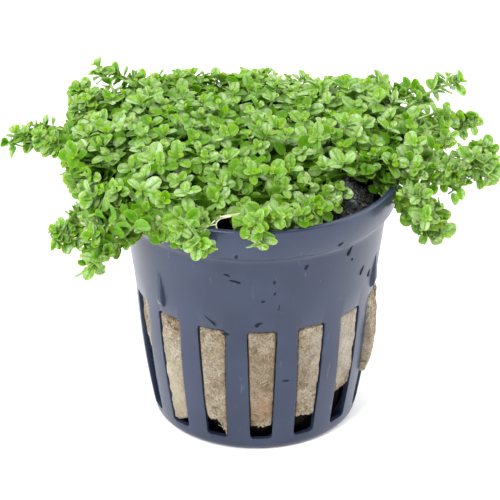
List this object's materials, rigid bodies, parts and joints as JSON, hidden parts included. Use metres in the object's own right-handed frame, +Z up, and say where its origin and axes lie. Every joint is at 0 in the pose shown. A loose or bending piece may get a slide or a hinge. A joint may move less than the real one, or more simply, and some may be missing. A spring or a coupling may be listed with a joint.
{
  "type": "potted dwarf baby tears",
  "caption": "Slotted net pot filled with rock wool, carrying a dense cushion of small round leaves that spills over its rim on thin trailing sprigs.",
  "frame": {"origin": "on the pot's axis, in the plane of its underside", "axes": "+Z up along the pot's axis, -Y towards the side the picture shows, +X to the right of that view"},
  "size_m": [0.0953, 0.0726, 0.0609],
  "materials": {
    "pot_plastic": "smooth moulded blue-grey plastic with a soft sheen",
    "rock_wool": "tan felted mineral fibre with brown specks",
    "wet_medium": "near-black wet medium with small glints",
    "leaf_green": "glossy mid-green leaves with paler rims and lime young centres",
    "sprig_green": "glossy light-green leaves on pale stems"
  },
  "bodies": {
    "root": {"pot": "pot_plastic", "rock_wool_plug": "rock_wool", "growing_medium": "wet_medium", "leaf_mat": "leaf_green", "sprig_back_left_tall": "sprig_green", "sprig_left_back_upper": "sprig_green", "sprig_left_back_lower": "sprig_green", "sprig_far_left": "sprig_green", "sprig_far_left_upper": "sprig_green", "sprig_left_drooping": "sprig_green", "sprig_left_small": "sprig_green", "sprig_left_low": "sprig_green", "sprig_left_front_hanging": "sprig_green", "sprig_left_front_inner": "sprig_green", "sprig_front_left": "sprig_green", "sprig_front": "sprig_green", "sprig_back_right_tall": "sprig_green", "sprig_right_back": "sprig_green", "sprig_far_right_upper": "sprig_green", "sprig_far_right_lower": "sprig_green", "sprig_right_small": "sprig_green", "sprig_right_hanging": "sprig_green", "sprig_right_hanging_inner": "sprig_green", "sprig_back_centre": "sprig_green", "sprig_back_right": "sprig_green", "sprig_back_left": "sprig_green", "sprig_behind_1": "sprig_green", "sprig_behind_2": "sprig_green", "sprig_behind_3": "sprig_green", "sprig_behind_4": "sprig_green", "sprig_behind_5": "sprig_green", "sprig_behind_6": "sprig_green"}
  },
  "joints": []
}
